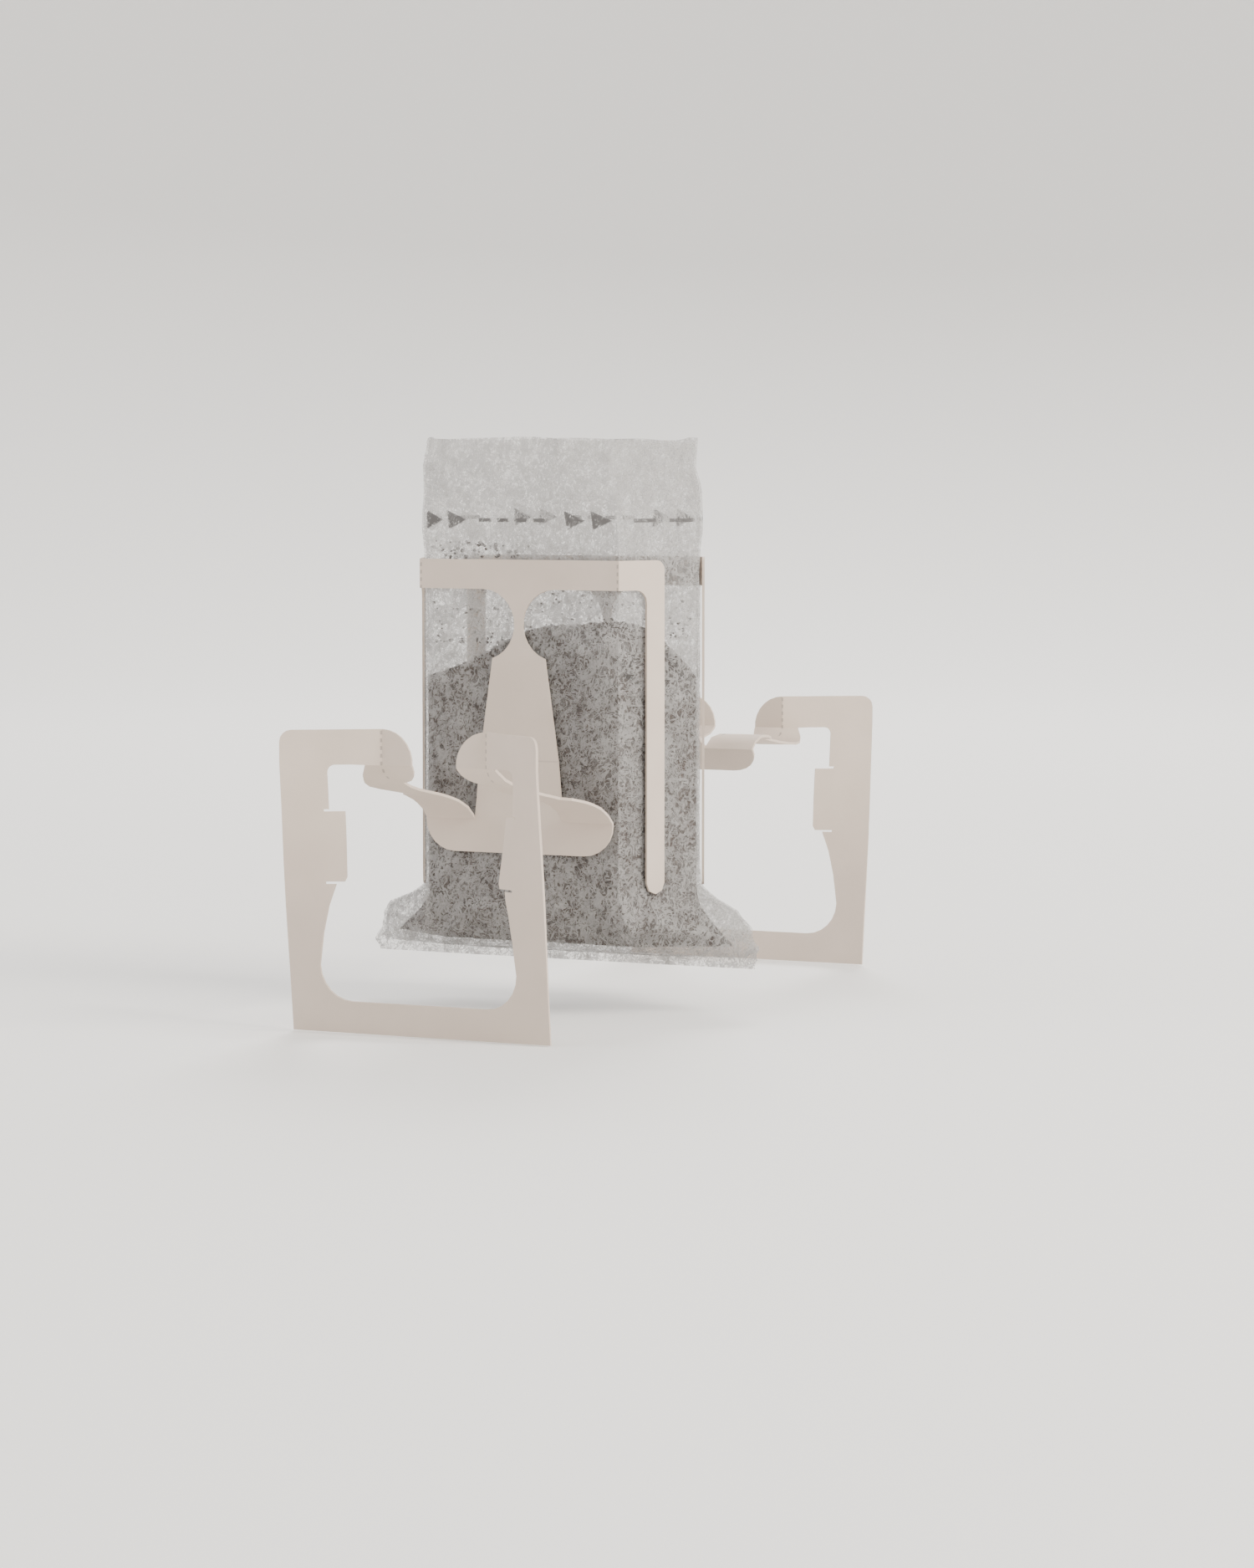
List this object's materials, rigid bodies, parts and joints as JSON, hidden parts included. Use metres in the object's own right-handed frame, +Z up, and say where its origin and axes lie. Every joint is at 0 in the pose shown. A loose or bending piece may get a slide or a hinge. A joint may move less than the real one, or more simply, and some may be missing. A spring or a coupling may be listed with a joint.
{
  "type": "drip coffee bag",
  "caption": "Opened hanging filter bag with ground coffee and folded die-cut card hangers that hook over a cup's rim",
  "frame": {"origin": "on the bag's centre axis, at the height of the cup rim that the hanger loops hook over", "axes": "+Z up, +X across the bag's panels, the printed front faces -Y"},
  "size_m": [0.074, 0.1398, 0.0996],
  "materials": {
    "filter_fabric": "thin white translucent nonwoven filter fabric",
    "coffee": "loose roasted ground coffee, matt and grainy",
    "card": "uncoated white paperboard with a faint fibre grain"
  },
  "bodies": {
    "root": {"filter_bag": "filter_fabric", "coffee_grounds": "coffee", "hanger_card_front": "card", "hanger_card_rear": "card"}
  },
  "joints": []
}
